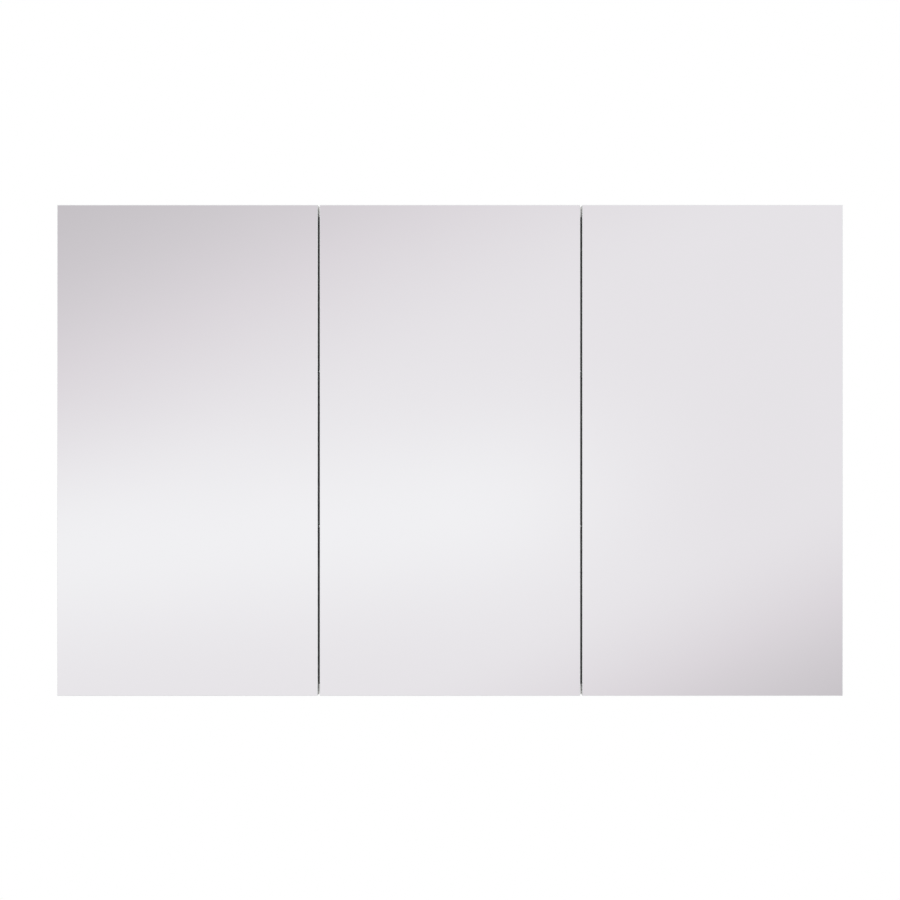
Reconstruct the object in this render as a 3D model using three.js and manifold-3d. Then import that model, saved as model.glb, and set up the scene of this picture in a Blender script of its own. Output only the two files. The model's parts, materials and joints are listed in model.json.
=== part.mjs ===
// Mirrored medicine cabinet: a white carcass with three full-overlay mirror doors on concealed hinges.
// Millimetres. X runs to the right, Y into the wall, Z up. The origin is the middle of the wall rail's
// back face, on its screw line, so the wall is the plane Y = 0 and the mirrors face -Y.
import * as THREE from "three";
import { mergeVertices } from "three/addons/utils/BufferGeometryUtils.js";
import Module from "manifold-3d";

const wasm = await Module();
wasm.setup();

// ---- Driving dimensions ----
const CABINET_WIDTH = 1200;
const CABINET_HEIGHT = 750;
const TOP_ABOVE_RAIL = 56; // from the rail's screw line to the cabinet's top face
const BOARD = 16; // carcass and door board thickness
const CARCASS_DEPTH = 127; // wall to the carcass's front edge

const DOOR_COUNT = 3;
const DOOR_GAP = 3; // between neighbouring doors
const BUMPER_GAP = 2; // carcass front edge to the door's back face
const TAPE_THICKNESS = 1;
const TAPE_WIDTH = 25;
const TAPE_INSET = 6; // tape edge in from the mirror's edge
const MIRROR_THICKNESS = 4;
const MIRROR_ARRIS = 0.8; // ground and polished corner, at 45 degrees

const BACK_THICKNESS = 3;
const BACK_RECESS = 16; // wall to the back panel's rear face
const GROOVE_WIDTH = 3.6;
const GROOVE_DEPTH = 8;
const BACK_TONGUE = 6; // how far the back panel enters each groove
const HANGER_NOTCH_WIDTH = 46;
const HANGER_NOTCH_HEIGHT = 30; // measured down from the top board's underside

const SHELF_SHARES = [1 / 3, 2 / 3]; // heights of the shelves, as shares of the inside
const SHELF_THICKNESS = 5;
const SHELF_DEPTH = 98;
const SHELF_SIDE_GAP = 1; // each end of a shelf to the board beside it
const SHELF_BACK_GAP = 3; // shelf to the back panel
const SHELF_PIN_RADIUS = 2.5;
const SHELF_HOLE_DEPTH = 10;
const SHELF_HOLE_STEP = 32;
const SHELF_HOLE_FRONT = 105; // wall to the front column of holes
const SHELF_HOLE_BACK = 40; // wall to the rear column of holes
const SHELF_HOLE_DROP = 2.5; // hole centre below the shelf's underside

const RAIL_LENGTH = 1160;
const RAIL_SHEET = 1.5;
const RAIL_HALF_HEIGHT = 13;
const RAIL_OFFSET = 8; // wall to the front of the rail's lip
const RAIL_LIP_TOP = 25;
const RAIL_SLOT_LENGTH = 14;
const RAIL_SLOT_RADIUS = 3;
const RAIL_SLOT_REACH = 520; // middle of the rail to its outermost slot
const RAIL_SLOT_COUNT = 6;

const HOUSING_WIDTH = 36;
const HOUSING_DEPTH = 26;
const HOUSING_BOTTOM = -12;
const HOUSING_TOP = 38;
const HOUSING_WALL = 2.5;
const HOUSING_SCREW_RADIUS = 4;
const HOUSING_SCREW_HEIGHTS = [0, 26]; // the two adjusting screws, from the rail's screw line
const HOOK_THICKNESS = 3;
const HOOK_WIDTH = 18;
const HOOK_ARM = 6; // height of the part that passes over the rail's lip
const FIT = 0.3; // clearance wherever one piece sits against another

// Hinge section. U runs inwards from the door's hinge edge, V forwards from the carcass's front edge.
const HINGE_INSET = 100; // door end to the hinge's middle
const CUP_CENTRE = 22.5;
const CUP_RADIUS = 17.5;
const CUP_WALL = 0.8;
const CUP_DEPTH = 13;
const FLANGE_RADIUS = 19;
const FLANGE_THICKNESS = 1;
const EAR_CENTRE = 32;
const EAR_REACH = 22.5;
const EAR_RADIUS = 5.5;
const EAR_SCREW_RADIUS = 2.2;
const PILOT_RADIUS = 1.1; // ear screws' holes in the door board
const PILOT_DEPTH = 12;
const ARM_PIVOT_1 = new THREE.Vector2(31.9, -20); // inner link on the arm
const ARM_PIVOT_2 = new THREE.Vector2(32, 4.7); // outer link on the arm
const CUP_PIVOT_1 = new THREE.Vector2(9.4, 9.2); // inner link in the cup
const CUP_PIVOT_2 = new THREE.Vector2(13.3, 11.1); // outer link in the cup
const ARM_PIN_1_RADIUS = 1.5;
const ARM_PIN_2_RADIUS = 1;
const CUP_PIN_RADIUS = 0.8;
const CUP_PIN_SEAT_1 = 10.6; // middle of the hinge to the pin's end in the cup wall
const CUP_PIN_SEAT_2 = 14.1;
const LINK_THICKNESS = 1.6;
const LINK_INNER_FACE = 0.7; // middle of the hinge to a link's near face
const LINK_OUTER_FACE = 6.5;
const INNER_LINK_BENDS = [
  new THREE.Vector2(30, -6),
  new THREE.Vector2(24.6, 5),
  new THREE.Vector2(20.3, 10.6),
  new THREE.Vector2(16.6, 12.3),
  new THREE.Vector2(12.6, 11.6),
];
const OUTER_LINK_BENDS = [
  new THREE.Vector2(31.2, 7.2),
  new THREE.Vector2(28.2, 10.5),
  new THREE.Vector2(24.8, 12.3),
  new THREE.Vector2(20.5, 12),
];
const LINK_1_EYE = 3.2;
const LINK_1_CUP_EYE = 1.9;
const LINK_2_EYE = 2.2;
const SLOT_CENTRE = new THREE.Vector2(13.45, 11.1);
const SLOT_TRAVEL = 1.21; // of the cup's second pin in its slotted eye, each way
const SLOT_RADIUS = 1.2;
const SLOT_WALL = 0.55;
const SLOT_PLAY = 0.15; // at each end of the travel
const CHEEK_INNER = 8;
const CHEEK_OUTER = 9.5;
const CHEEK_NOSE = 2.4; // radius round the nose's pin
const CHEEK_SHOULDER = new THREE.Vector2(35, -22); // where the cheek starts to narrow, on its room side
const CHEEK_NECK = -12; // where it has narrowed
const CHEEK_THROAT = [new THREE.Vector2(29.6, -6), new THREE.Vector2(26, -14), new THREE.Vector2(24, -24)];
const ARM_BASE = 21.1;
const ARM_SHEET = 1.3;
const ARM_BACK = -66;
const ARM_BACK_CHAMFER = new THREE.Vector2(2, 4);
const ARM_WEB_FRONT = -27;
const ARM_SCREWS = [-37, -54];
const ARM_SCREW_RADIUS = 2.6;
const PLATE_FOOT = { thickness: 2.5, back: -60, front: -26, half: 9 };
const PLATE_WING = { thickness: 2, along: 7, half: 24 }; // along: either side of the screw line
const PLATE_RIB = { top: 20.8, back: -58, front: -28, half: 5 };
const PLATE_SCREW_LINE = -37;
const PLATE_SCREW_REACH = 16;
const PLATE_SCREW_RADIUS = 2.3;

const CIRCLE = 20; // facets of the cup and its bore
const SMALL_CIRCLE = 8;
const HOLE_CIRCLE = 6;
const INNER_LINK_STEPS = 9; // straight runs that make up each link's curve
const OUTER_LINK_STEPS = 7;
const CURVE_STEPS = 4; // straight runs round the nose of the arm's cheek
const MERGE = 1e-4; // vertices closer than this are one
const PAST = 1; // how far a cutting tool runs past the face it cuts

// ---- Sizes that follow ----
const TOP = TOP_ABOVE_RAIL;
const BOTTOM = TOP - CABINET_HEIGHT;
const MIDDLE = (TOP + BOTTOM) / 2;
const HALF_WIDTH = CABINET_WIDTH / 2;
const INNER_TOP = TOP - BOARD;
const INNER_BOTTOM = BOTTOM + BOARD;
const INNER_HALF = HALF_WIDTH - BOARD;
const DOOR_WIDTH = (CABINET_WIDTH - (DOOR_COUNT - 1) * DOOR_GAP) / DOOR_COUNT;
const DIVIDER_X = DOOR_WIDTH / 2 - BOARD / 2;
const BACK_FRONT = -BACK_RECESS - BACK_THICKNESS;
const GROOVE_MIDDLE = -BACK_RECESS - BACK_THICKNESS / 2;
const DIVIDER_BACK = BACK_FRONT - FIT;
const INNER_HEIGHT = INNER_TOP - INNER_BOTTOM;
const SHELF_HEIGHTS = SHELF_SHARES.map((share) => Math.round(INNER_BOTTOM + share * INNER_HEIGHT));
const DOOR_BACK = BUMPER_GAP;
const DOOR_FRONT = DOOR_BACK + BOARD;
const TAPE_FRONT = DOOR_FRONT + TAPE_THICKNESS;
const CUP_FLOOR = DOOR_BACK + CUP_DEPTH; // outer face of the cup's floor
const HINGE_REACH = CABINET_HEIGHT / 2 - HINGE_INSET;

// ---- Materials ----
const white = (roughness) => new THREE.MeshStandardMaterial({ color: 0xf1f1ef, roughness, metalness: 0 });
const steel = (color, roughness) => new THREE.MeshStandardMaterial({ color, roughness, metalness: 1 });
const makeMaterial = {
  board: () => white(0.45),
  back: () => white(0.6),
  plastic: () => white(0.35),
  rail: () => steel(0xb9bcc0, 0.4),
  nickel: () => steel(0xc9c7c2, 0.25),
  mirror: () => steel(0xe4dfe6, 0.03),
  tape: () => new THREE.MeshStandardMaterial({ color: 0xd9d9d6, roughness: 0.9, metalness: 0 }),
  glass: () =>
    new THREE.MeshStandardMaterial({
      color: 0xdfece8,
      roughness: 0.05,
      metalness: 0,
      transparent: true,
      opacity: 0.35,
    }),
};

// ---- Solids ----
function solid(geometry) {
  const bare = geometry.clone();
  bare.deleteAttribute("normal");
  bare.deleteAttribute("uv");
  const merged = mergeVertices(bare, MERGE);
  const vertProperties = merged.attributes.position.array;
  const triVerts = new Uint32Array(merged.index.array);
  return new wasm.Manifold(new wasm.Mesh({ numProp: 3, vertProperties, triVerts }));
}

function geometryOf(body) {
  const mesh = body.getMesh();
  const geometry = new THREE.BufferGeometry();
  geometry.setAttribute("position", new THREE.BufferAttribute(mesh.vertProperties, 3));
  geometry.setIndex(new THREE.BufferAttribute(mesh.triVerts, 1));
  const flat = geometry.toNonIndexed();
  flat.computeVertexNormals();
  return flat;
}

function box(x0, x1, y0, y1, z0, z1) {
  const geometry = new THREE.BoxGeometry(x1 - x0, y1 - y0, z1 - z0);
  geometry.translate((x0 + x1) / 2, (y0 + y1) / 2, (z0 + z1) / 2);
  return solid(geometry);
}

// A round bar along one axis, from a to b on it; the other two coordinates are given in axis order.
function bar(axis, p, q, radius, a, b, segments = SMALL_CIRCLE) {
  const geometry = new THREE.CylinderGeometry(radius, radius, Math.abs(b - a), segments);
  const centre = (a + b) / 2;
  if (axis === "x") {
    geometry.rotateZ(Math.PI / 2);
    geometry.translate(centre, p, q);
  }
  if (axis === "y") {
    geometry.translate(p, centre, q);
  }
  if (axis === "z") {
    geometry.rotateX(Math.PI / 2);
    geometry.translate(p, q, centre);
  }
  return solid(geometry);
}

function prism(shape, z0, z1) {
  const options = { depth: z1 - z0, bevelEnabled: false, curveSegments: CURVE_STEPS };
  const geometry = new THREE.ExtrudeGeometry(shape, options);
  geometry.translate(0, 0, z0);
  return solid(geometry);
}

// A YZ profile drawn as (y, z), extruded along X.
function profileAlongX(points, x0, x1) {
  const shape = new THREE.Shape(points.map(([y, z]) => new THREE.Vector2(y, z)));
  const geometry = new THREE.ExtrudeGeometry(shape, { depth: x1 - x0, bevelEnabled: false });
  geometry.rotateX(Math.PI / 2);
  geometry.rotateZ(Math.PI / 2);
  geometry.translate(x0, 0, 0);
  return solid(geometry);
}

const join = (first, ...others) => others.reduce((sum, other) => sum.add(other), first);
const cut = (body, ...tools) => tools.reduce((rest, tool) => rest.subtract(tool), body);

// A strap of even thickness that follows a line of points.
function strap(points, halfThickness) {
  const left = [];
  const right = [];
  points.forEach((point, i) => {
    const before = points[Math.max(i - 1, 0)];
    const after = points[Math.min(i + 1, points.length - 1)];
    const arriving = (i > 0 ? point.clone().sub(before) : after.clone().sub(point)).normalize();
    const leaving = (i < points.length - 1 ? after.clone().sub(point) : arriving.clone()).normalize();
    const along = arriving.clone().add(leaving).normalize();
    const reach = halfThickness / along.dot(arriving);
    left.push(new THREE.Vector2(point.x - along.y * reach, point.y + along.x * reach));
    right.unshift(new THREE.Vector2(point.x + along.y * reach, point.y - along.x * reach));
  });
  return new THREE.Shape([...left, ...right]);
}

const cabinet = new THREE.Group();

function place(name, geometry, material, parent = cabinet) {
  const mesh = new THREE.Mesh(geometry, makeMaterial[material]());
  mesh.name = name;
  parent.add(mesh);
  return mesh;
}

// ---- Carcass ----
// Shelf-pin holes along X, from one X to the other: three heights for each shelf, in two columns.
function shelfHoles(from, to) {
  const tools = [];
  for (const height of SHELF_HEIGHTS) {
    for (const offset of [-SHELF_HOLE_STEP, 0, SHELF_HOLE_STEP]) {
      for (const depth of [SHELF_HOLE_FRONT, SHELF_HOLE_BACK]) {
        const z = height - SHELF_HOLE_DROP + offset;
        tools.push(bar("x", -depth, z, SHELF_PIN_RADIUS, from, to, HOLE_CIRCLE));
      }
    }
  }
  return tools;
}

function backGroove(x0, x1, z0, z1) {
  return box(x0, x1, GROOVE_MIDDLE - GROOVE_WIDTH / 2, GROOVE_MIDDLE + GROOVE_WIDTH / 2, z0, z1);
}

for (const [name, side] of [["left", -1], ["right", 1]]) {
  const outer = side * HALF_WIDTH;
  const inner = side * INNER_HALF;
  const low = Math.min(outer, inner);
  const high = Math.max(outer, inner);
  const grooveEnd = inner + side * GROOVE_DEPTH;
  const grooveMouth = inner - side * PAST;
  const board = box(low, high, -CARCASS_DEPTH, 0, BOTTOM, TOP);
  const groove = backGroove(
    Math.min(grooveEnd, grooveMouth),
    Math.max(grooveEnd, grooveMouth),
    INNER_BOTTOM - GROOVE_DEPTH,
    INNER_TOP + GROOVE_DEPTH,
  );
  const holes = shelfHoles(inner - side * PAST, inner + side * SHELF_HOLE_DEPTH);
  place(`side_panel_${name}`, geometryOf(cut(board, groove, ...holes)), "board");
}

for (const [name, outer, inner, up] of [["top", TOP, INNER_TOP, 1], ["bottom", BOTTOM, INNER_BOTTOM, -1]]) {
  const low = Math.min(outer, inner);
  const high = Math.max(outer, inner);
  const board = box(-INNER_HALF, INNER_HALF, -CARCASS_DEPTH, 0, low, high);
  const grooveEnd = inner + up * GROOVE_DEPTH;
  const grooveMouth = inner - up * PAST;
  const groove = backGroove(
    -INNER_HALF - PAST,
    INNER_HALF + PAST,
    Math.min(grooveEnd, grooveMouth),
    Math.max(grooveEnd, grooveMouth),
  );
  place(`${name}_panel`, geometryOf(cut(board, groove)), "board");
}

for (const [name, side] of [["left", -1], ["right", 1]]) {
  const centre = side * DIVIDER_X;
  const low = centre - BOARD / 2;
  const high = centre + BOARD / 2;
  const board = box(low, high, -CARCASS_DEPTH, DIVIDER_BACK, INNER_BOTTOM, INNER_TOP);
  place(`divider_${name}`, geometryOf(cut(board, ...shelfHoles(low - PAST, high + PAST))), "board");
}

{
  const reach = INNER_HALF + BACK_TONGUE;
  const low = INNER_BOTTOM - BACK_TONGUE;
  const high = INNER_TOP + BACK_TONGUE;
  const sheet = box(-reach, reach, BACK_FRONT, -BACK_RECESS, low, high);
  const notches = [-1, 1].map((side) => {
    const inner = side * (INNER_HALF - HANGER_NOTCH_WIDTH);
    const outer = side * (reach + PAST);
    return box(
      Math.min(inner, outer),
      Math.max(inner, outer),
      BACK_FRONT - PAST,
      PAST - BACK_RECESS,
      INNER_TOP - HANGER_NOTCH_HEIGHT,
      high + PAST,
    );
  });
  place("back_panel", geometryOf(cut(sheet, ...notches)), "back");
}

// ---- Hanging: wall rail, and a hanger in each top corner ----
{
  const profile = [
    [0, -RAIL_HALF_HEIGHT],
    [0, RAIL_HALF_HEIGHT],
    [RAIL_SHEET - RAIL_OFFSET, RAIL_HALF_HEIGHT],
    [RAIL_SHEET - RAIL_OFFSET, RAIL_LIP_TOP],
    [-RAIL_OFFSET, RAIL_LIP_TOP],
    [-RAIL_OFFSET, RAIL_HALF_HEIGHT - RAIL_SHEET],
    [-RAIL_SHEET, RAIL_HALF_HEIGHT - RAIL_SHEET],
    [-RAIL_SHEET, -RAIL_HALF_HEIGHT],
  ];
  const rail = profileAlongX(profile, -RAIL_LENGTH / 2, RAIL_LENGTH / 2);
  const slots = [];
  for (let i = 0; i < RAIL_SLOT_COUNT; i += 1) {
    const x = RAIL_SLOT_REACH * ((2 * i) / (RAIL_SLOT_COUNT - 1) - 1);
    const half = RAIL_SLOT_LENGTH / 2 - RAIL_SLOT_RADIUS;
    slots.push(box(x - half, x + half, -RAIL_SHEET - PAST, PAST, -RAIL_SLOT_RADIUS, RAIL_SLOT_RADIUS));
    slots.push(bar("y", x - half, 0, RAIL_SLOT_RADIUS, -RAIL_SHEET - PAST, PAST));
    slots.push(bar("y", x + half, 0, RAIL_SLOT_RADIUS, -RAIL_SHEET - PAST, PAST));
  }
  place("wall_rail", geometryOf(cut(rail, ...slots)), "rail");
}

for (const [name, side] of [["left", -1], ["right", 1]]) {
  const wallSide = side * (INNER_HALF - FIT);
  const freeSide = side * (INNER_HALF - FIT - HOUSING_WIDTH);
  const low = Math.min(wallSide, freeSide);
  const high = Math.max(wallSide, freeSide);
  const rear = BACK_FRONT - FIT;
  const front = rear - HOUSING_DEPTH;
  const shell = box(low, high, front, rear, HOUSING_BOTTOM, HOUSING_TOP);
  const room = box(
    low + HOUSING_WALL,
    high - HOUSING_WALL,
    front + HOUSING_WALL,
    rear + PAST,
    HOUSING_BOTTOM + HOUSING_WALL,
    HOUSING_TOP - HOUSING_WALL,
  );
  const middle = (low + high) / 2;
  const screws = HOUSING_SCREW_HEIGHTS.map((z) =>
    bar("y", middle, z, HOUSING_SCREW_RADIUS, front - PAST, front + HOUSING_WALL + PAST),
  );
  place(`hanger_housing_${name}`, geometryOf(cut(shell, room, ...screws)), "plastic");

  const under = RAIL_LIP_TOP + FIT;
  const over = under + HOOK_ARM;
  const tipFront = RAIL_SHEET - RAIL_OFFSET + FIT;
  const tipBack = tipFront + HOOK_THICKNESS;
  const tipEnd = RAIL_HALF_HEIGHT + HOOK_THICKNESS;
  const legFront = front + HOUSING_WALL + HOOK_THICKNESS;
  const legBack = legFront + HOOK_THICKNESS;
  const legEnd = HOUSING_BOTTOM + HOUSING_WALL + HOOK_THICKNESS;
  const profile = [
    [legFront, legEnd],
    [legBack, legEnd],
    [legBack, under - HOOK_THICKNESS],
    [legBack + HOOK_THICKNESS, under],
    [tipFront, under],
    [tipFront, tipEnd],
    [tipBack, tipEnd],
    [tipBack, over - HOOK_THICKNESS],
    [tipFront, over],
    [legFront, over],
  ];
  const hook = profileAlongX(profile, middle - HOOK_WIDTH / 2, middle + HOOK_WIDTH / 2);
  place(`hanger_hook_${name}`, geometryOf(hook), "rail");
}

// ---- Glass shelves, two in each compartment ----
const dividerInner = DIVIDER_X - BOARD / 2;
const dividerOuter = DIVIDER_X + BOARD / 2;
const compartments = [
  ["left", -INNER_HALF, -dividerOuter],
  ["middle", -dividerInner, dividerInner],
  ["right", dividerOuter, INNER_HALF],
];
for (const [name, low, high] of compartments) {
  SHELF_HEIGHTS.forEach((height, i) => {
    const back = BACK_FRONT - SHELF_BACK_GAP;
    const glass = box(
      low + SHELF_SIDE_GAP,
      high - SHELF_SIDE_GAP,
      back - SHELF_DEPTH,
      back,
      height,
      height + SHELF_THICKNESS,
    );
    place(`glass_shelf_${name}_${i === 0 ? "lower" : "upper"}`, geometryOf(glass), "glass");
  });
}

// ---- Hinge pieces, drawn in U (x), V (y) and height (z) ----
// The cup's flange: a disc with a screw ear above and below.
function flange(grow, from, to) {
  const disc = bar("y", CUP_CENTRE, 0, FLANGE_RADIUS + grow, from, to, CIRCLE);
  const half = EAR_RADIUS + grow;
  const plate = box(EAR_CENTRE - half, EAR_CENTRE + half, from, to, -EAR_REACH, EAR_REACH);
  const ends = [-1, 1].map((end) => bar("y", EAR_CENTRE, end * EAR_REACH, half, from, to));
  return join(disc, plate, ...ends);
}

function earScrews(radius, from, to) {
  return [-1, 1].map((end) => bar("y", EAR_CENTRE, end * EAR_REACH, radius, from, to, HOLE_CIRCLE));
}

function cupSolid() {
  const pot = bar("y", CUP_CENTRE, 0, CUP_RADIUS, DOOR_BACK, CUP_FLOOR, CIRCLE);
  const inside = CUP_RADIUS - CUP_WALL;
  const hollow = bar("y", CUP_CENTRE, 0, inside, DOOR_BACK - PAST, CUP_FLOOR - CUP_WALL, CIRCLE);
  const rim = flange(0, DOOR_BACK, DOOR_BACK + FLANGE_THICKNESS);
  const shell = cut(join(pot, rim), hollow, ...earScrews(EAR_SCREW_RADIUS, DOOR_BACK - PAST, CUP_FLOOR));
  const pin1 = bar("z", CUP_PIVOT_1.x, CUP_PIVOT_1.y, CUP_PIN_RADIUS, -CUP_PIN_SEAT_1, -LINK_INNER_FACE);
  const pin2 = bar("z", CUP_PIVOT_2.x, CUP_PIVOT_2.y, CUP_PIN_RADIUS, LINK_INNER_FACE, CUP_PIN_SEAT_2);
  return join(shell, pin1, pin2);
}

function boreTools(height) {
  const bore = bar("y", CUP_CENTRE, 0, CUP_RADIUS + FIT, DOOR_BACK - PAST, CUP_FLOOR + FIT, CIRCLE);
  const seat = flange(FIT, DOOR_BACK - PAST, DOOR_BACK + FLANGE_THICKNESS + FIT);
  const pilots = earScrews(PILOT_RADIUS, DOOR_BACK, DOOR_BACK + PILOT_DEPTH);
  return join(bore, seat, ...pilots).translate([0, 0, height]);
}

// The inner link: a bent strap from its pin in the arm to its eye on the cup's first pin.
function innerLinkSolid() {
  const curve = new THREE.SplineCurve([ARM_PIVOT_1, ...INNER_LINK_BENDS, CUP_PIVOT_1]);
  const line = curve.getPoints(INNER_LINK_STEPS);
  const body = prism(strap(line, LINK_THICKNESS / 2), -LINK_OUTER_FACE, -LINK_INNER_FACE);
  const armEye = bar("z", ARM_PIVOT_1.x, ARM_PIVOT_1.y, LINK_1_EYE, -LINK_OUTER_FACE, -LINK_INNER_FACE);
  const cupEye = bar("z", CUP_PIVOT_1.x, CUP_PIVOT_1.y, LINK_1_CUP_EYE, -LINK_OUTER_FACE, -LINK_INNER_FACE);
  const pin = bar("z", ARM_PIVOT_1.x, ARM_PIVOT_1.y, ARM_PIN_1_RADIUS, -CHEEK_OUTER, CHEEK_OUTER);
  const hole = bar("z", CUP_PIVOT_1.x, CUP_PIVOT_1.y, CUP_PIN_RADIUS + FIT, -LINK_OUTER_FACE - PAST, 0);
  return cut(join(body, armEye, cupEye, pin), hole);
}

// The outer link: a bent strap from its pin in the arm's nose to a slotted eye on the cup's second pin.
function outerLinkSolid() {
  const curve = new THREE.SplineCurve([ARM_PIVOT_2, ...OUTER_LINK_BENDS, SLOT_CENTRE]);
  const line = curve.getPoints(OUTER_LINK_STEPS);
  const body = prism(strap(line, LINK_THICKNESS / 2), LINK_INNER_FACE, LINK_OUTER_FACE);
  const armEye = bar("z", ARM_PIVOT_2.x, ARM_PIVOT_2.y, LINK_2_EYE, LINK_INNER_FACE, LINK_OUTER_FACE);
  const pin = bar("z", ARM_PIVOT_2.x, ARM_PIVOT_2.y, ARM_PIN_2_RADIUS, LINK_OUTER_FACE - PAST, CHEEK_OUTER);
  const { x, y } = SLOT_CENTRE;
  const eye = slotBar(x, y, SLOT_RADIUS + SLOT_WALL, LINK_INNER_FACE, LINK_OUTER_FACE);
  const slot = slotBar(x, y, SLOT_RADIUS, 0, LINK_OUTER_FACE + PAST);
  return cut(join(body, armEye, pin, eye), slot);
}

// A bar with a slot-shaped section, long in V.
function slotBar(x, y, radius, from, to) {
  const lift = SLOT_TRAVEL + CUP_PIN_RADIUS + SLOT_PLAY - SLOT_RADIUS;
  const middle = box(x - radius, x + radius, y - lift, y + lift, from, to);
  return join(middle, bar("z", x, y - lift, radius, from, to), bar("z", x, y + lift, radius, from, to));
}

function armSolid() {
  const top = CHEEK_SHOULDER.x;
  const cheek = new THREE.Shape();
  cheek.moveTo(ARM_BASE, ARM_BACK);
  cheek.lineTo(top - ARM_BACK_CHAMFER.x, ARM_BACK);
  cheek.lineTo(top, ARM_BACK + ARM_BACK_CHAMFER.y);
  cheek.lineTo(top, CHEEK_SHOULDER.y);
  cheek.lineTo(ARM_PIVOT_2.x + CHEEK_NOSE, CHEEK_NECK);
  cheek.lineTo(ARM_PIVOT_2.x + CHEEK_NOSE, ARM_PIVOT_2.y);
  cheek.absarc(ARM_PIVOT_2.x, ARM_PIVOT_2.y, CHEEK_NOSE, 0, Math.PI, false);
  CHEEK_THROAT.forEach((corner) => cheek.lineTo(corner.x, corner.y));
  cheek.lineTo(ARM_BASE, ARM_WEB_FRONT);
  const web = box(ARM_BASE, ARM_BASE + ARM_SHEET, ARM_BACK, ARM_WEB_FRONT, -CHEEK_OUTER, CHEEK_OUTER);
  const cheeks = [prism(cheek, -CHEEK_OUTER, -CHEEK_INNER), prism(cheek, CHEEK_INNER, CHEEK_OUTER)];
  const far = CHEEK_OUTER + PAST;
  const bores = [
    bar("z", ARM_PIVOT_1.x, ARM_PIVOT_1.y, ARM_PIN_1_RADIUS + FIT, -far, far),
    bar("z", ARM_PIVOT_2.x, ARM_PIVOT_2.y, ARM_PIN_2_RADIUS + FIT, -far, far),
  ];
  const screws = ARM_SCREWS.map((v) =>
    bar("x", v, 0, ARM_SCREW_RADIUS, ARM_BASE - PAST, ARM_BASE + ARM_SHEET + PAST),
  );
  return cut(join(web, ...cheeks), ...bores, ...screws);
}

function plateSolid() {
  const face = BOARD + FIT;
  const { thickness, back, front, half } = PLATE_FOOT;
  const foot = box(face, face + thickness, back, front, -half, half);
  const wings = box(
    face,
    face + PLATE_WING.thickness,
    PLATE_SCREW_LINE - PLATE_WING.along,
    PLATE_SCREW_LINE + PLATE_WING.along,
    -PLATE_WING.half,
    PLATE_WING.half,
  );
  const rib = box(face, PLATE_RIB.top, PLATE_RIB.back, PLATE_RIB.front, -PLATE_RIB.half, PLATE_RIB.half);
  const far = face + thickness + PAST;
  const screws = [-1, 1].map((end) =>
    bar("x", PLATE_SCREW_LINE, end * PLATE_SCREW_REACH, PLATE_SCREW_RADIUS, face - PAST, far),
  );
  return cut(join(foot, wings, rib), ...screws);
}

const hingeGeometry = {
  hinge_cup: geometryOf(cupSolid()),
  hinge_inner_link: geometryOf(innerLinkSolid()),
  hinge_outer_link: geometryOf(outerLinkSolid()),
  hinge_arm: geometryOf(armSolid()),
  hinge_plate: geometryOf(plateSolid()),
};

// ---- Doors ----
function mirrorGeometry() {
  const half = DOOR_WIDTH / 2;
  const tall = CABINET_HEIGHT / 2;
  const outline = new THREE.Shape([
    new THREE.Vector2(-half, -tall),
    new THREE.Vector2(half, -tall),
    new THREE.Vector2(half, tall),
    new THREE.Vector2(-half, tall),
  ]);
  const geometry = new THREE.ExtrudeGeometry(outline, {
    depth: MIRROR_THICKNESS - 2 * MIRROR_ARRIS,
    bevelThickness: MIRROR_ARRIS,
    bevelSize: MIRROR_ARRIS,
    bevelOffset: -MIRROR_ARRIS,
    bevelSegments: 1,
  });
  geometry.translate(0, 0, MIRROR_ARRIS - MIRROR_THICKNESS / 2);
  geometry.rotateX(Math.PI / 2);
  geometry.translate(half, TAPE_FRONT + MIRROR_THICKNESS / 2, 0);
  return geometryOf(solid(geometry));
}

function tapeGeometry() {
  const tall = CABINET_HEIGHT / 2 - TAPE_INSET;
  const low = TAPE_INSET;
  const high = DOOR_WIDTH - TAPE_INSET;
  const sheet = box(low, high, DOOR_FRONT, TAPE_FRONT, -tall, tall);
  const middle = DOOR_WIDTH / 2;
  const spans = [
    [low + TAPE_WIDTH, middle - TAPE_WIDTH / 2],
    [middle + TAPE_WIDTH / 2, high - TAPE_WIDTH],
  ];
  const end = tall - TAPE_WIDTH;
  const windows = spans.map(([from, to]) => box(from, to, DOOR_FRONT - PAST, TAPE_FRONT + PAST, -end, end));
  return geometryOf(cut(sheet, ...windows));
}

function doorPanelGeometry() {
  const board = box(0, DOOR_WIDTH, DOOR_BACK, DOOR_FRONT, -CABINET_HEIGHT / 2, CABINET_HEIGHT / 2);
  return geometryOf(cut(board, boreTools(-HINGE_REACH), boreTools(HINGE_REACH)));
}

// A door's section frame sits on its hinge edge. The left-hung and right-hung frames are the same
// pieces turned half round, so one set of hinge parts serves both hands.
const doors = [
  ["left", -HALF_WIDTH, "left"],
  ["middle", -DOOR_WIDTH / 2, "left"],
  ["right", HALF_WIDTH, "right"],
];
for (const [name, hingeEdge, hand] of doors) {
  const door = new THREE.Group();
  door.position.set(hingeEdge, -CARCASS_DEPTH, MIDDLE);
  if (hand === "left") {
    door.rotation.x = Math.PI;
  } else {
    door.rotation.z = Math.PI;
  }
  cabinet.add(door);
  place(`door_panel_${name}`, doorPanelGeometry(), "board", door);
  place(`mirror_tape_${name}`, tapeGeometry(), "tape", door);
  place(`mirror_${name}`, mirrorGeometry(), "mirror", door);
  for (const [level, height] of [["upper", HINGE_REACH], ["lower", -HINGE_REACH]]) {
    const hinge = new THREE.Group();
    hinge.position.z = hand === "left" ? -height : height;
    door.add(hinge);
    for (const [piece, geometry] of Object.entries(hingeGeometry)) {
      place(`${piece}_${name}_${level}`, geometry, "nickel", hinge);
    }
  }
}

export default cabinet;
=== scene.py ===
# Looks for the mirrored medicine cabinet. Metres, in the frame of the CAD: X right, Y into the wall, Z up.
import json
import math

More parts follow.
